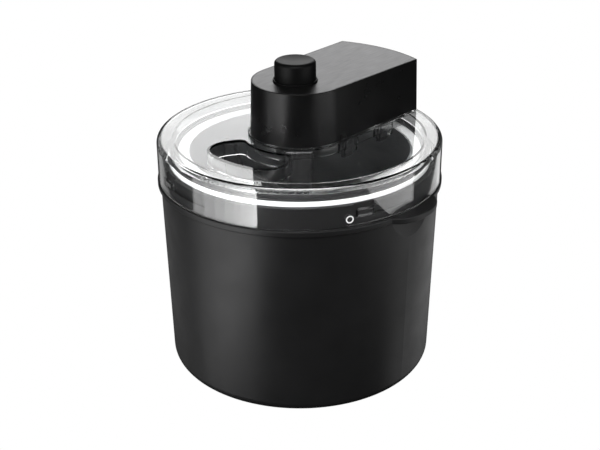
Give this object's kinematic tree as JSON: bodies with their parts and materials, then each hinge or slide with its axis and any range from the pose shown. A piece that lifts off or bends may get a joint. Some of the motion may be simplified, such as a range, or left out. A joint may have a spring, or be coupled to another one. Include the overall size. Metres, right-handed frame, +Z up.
{
  "type": "ice cream maker",
  "caption": "Freezer-bowl ice cream maker: black round pot, clear locking lid with filler opening, and a lift-off motor block with a push button on top.",
  "frame": {"origin": "centre of the base, on the plane that the feet stand on", "axes": "+Z up, -Y towards the button end of the motor block, grips at -X and +X"},
  "size_m": [0.2078, 0.1914, 0.214],
  "materials": {
    "housing_black": "satin moulded plastic",
    "rubber": "matte rubber",
    "bowl_metal": "satin drawn aluminium",
    "bowl_white": "smooth moulded plastic",
    "gel": "frozen gel",
    "seal_silicone": "translucent silicone",
    "lid_clear": "clear glossy plastic",
    "mark_white": "printed ink",
    "paddle_plastic": "moulded plastic",
    "dark_plastic": "moulded plastic",
    "block_black": "satin moulded plastic",
    "plate_grey": "fine satin grey metal",
    "steel": "plated steel",
    "gear_plastic": "acetal",
    "brass": "turned brass",
    "copper_coil": "enamelled copper winding",
    "magnet": "ferrite magnet",
    "switch_white": "moulded plastic",
    "button_black": "satin moulded plastic",
    "wire_blue": "wire insulation"
  },
  "bodies": {
    "housing": {"outer_housing": "housing_black", "rubber_feet": "rubber"},
    "bowl": {"bowl_liner": "bowl_metal", "bowl_shell": "bowl_white", "bowl_rim": "bowl_white", "coolant_gel": "gel", "fill_plug": "bowl_white", "bowl_pivot": "dark_plastic"},
    "seal": {"lid_seal": "seal_silicone"},
    "lid": {"clear_lid": "lid_clear", "lock_mark": "mark_white"},
    "paddle": {"mixing_paddle": "paddle_plastic", "paddle_socket": "dark_plastic"},
    "motor_unit": {"motor_housing": "block_black", "top_plate": "plate_grey", "base_cover": "dark_plastic", "base_screws": "steel", "output_bush": "brass", "gear_pins": "steel", "gearbox_deck": "steel", "deck_screws": "steel", "motor_can": "steel", "motor_screws": "steel", "stator_coil": "copper_coil", "motor_bush": "brass", "switch_body": "dark_plastic", "button_bezel": "button_black", "button_spring": "steel", "terminal_block": "switch_white", "terminal_screws": "brass", "cord_inlet_bush": "rubber", "lead_wires": "wire_blue"},
    "output_drive": {"output_gear": "gear_plastic", "output_shaft": "steel"},
    "second_wheel": {"second_gear": "gear_plastic"},
    "first_wheel": {"first_gear": "gear_plastic"},
    "rotor": {"motor_rotor": "magnet", "motor_shaft": "steel", "motor_pinion": "brass"},
    "button": {"start_button": "button_black", "switch_plunger": "switch_white"}
  },
  "joints": [
    {"name": "bowl_lift", "type": "slide", "parent": "housing", "child": "bowl", "axis": [0, 0, 1], "range_m": [0, 0.15]},
    {"name": "lid_lift", "type": "slide", "parent": "bowl", "child": "seal", "axis": [0, 0, 1], "range_m": [0, 0.13]},
    {"name": "lid_lock", "type": "hinge", "parent": "seal", "child": "lid", "pos_m": [0, 0, 0.15], "axis": [0, 0, 1], "range_deg": [0, 20]},
    {"name": "motor_lift", "type": "slide", "parent": "lid", "child": "motor_unit", "axis": [0, 0, 1], "range_m": [0, 0.05]},
    {"name": "paddle_spin", "type": "hinge", "parent": "lid", "child": "paddle", "pos_m": [0, 0, 0.1], "axis": [0, 0, 1], "continuous": true},
    {"name": "output_spin", "type": "hinge", "parent": "motor_unit", "child": "output_drive", "pos_m": [0, 0, 0.17], "axis": [0, 0, 1], "continuous": true},
    {"name": "second_spin", "type": "hinge", "parent": "motor_unit", "child": "second_wheel", "pos_m": [0, 0.03012, 0.17], "axis": [0, 0, 1], "continuous": true},
    {"name": "first_spin", "type": "hinge", "parent": "motor_unit", "child": "first_wheel", "pos_m": [0.01242, 0.04695, 0.17], "axis": [0, 0, 1], "continuous": true},
    {"name": "rotor_spin", "type": "hinge", "parent": "motor_unit", "child": "rotor", "pos_m": [0, 0.058, 0.17], "axis": [0, 0, 1], "continuous": true},
    {"name": "button_press", "type": "slide", "parent": "motor_unit", "child": "button", "axis": [0, 0, -1], "range_m": [0, 0.0025], "stiffness_N_per_m": 400, "springref_m": -0.003, "deforming": ["button_spring"]}
  ],
  "couplings": [
    {"joint": "first_spin", "follows": "rotor_spin", "ratio": -0.22222},
    {"joint": "second_spin", "follows": "rotor_spin", "ratio": 0.066667},
    {"joint": "output_spin", "follows": "rotor_spin", "ratio": -0.016667},
    {"joint": "paddle_spin", "follows": "rotor_spin", "ratio": -0.016667}
  ]
}
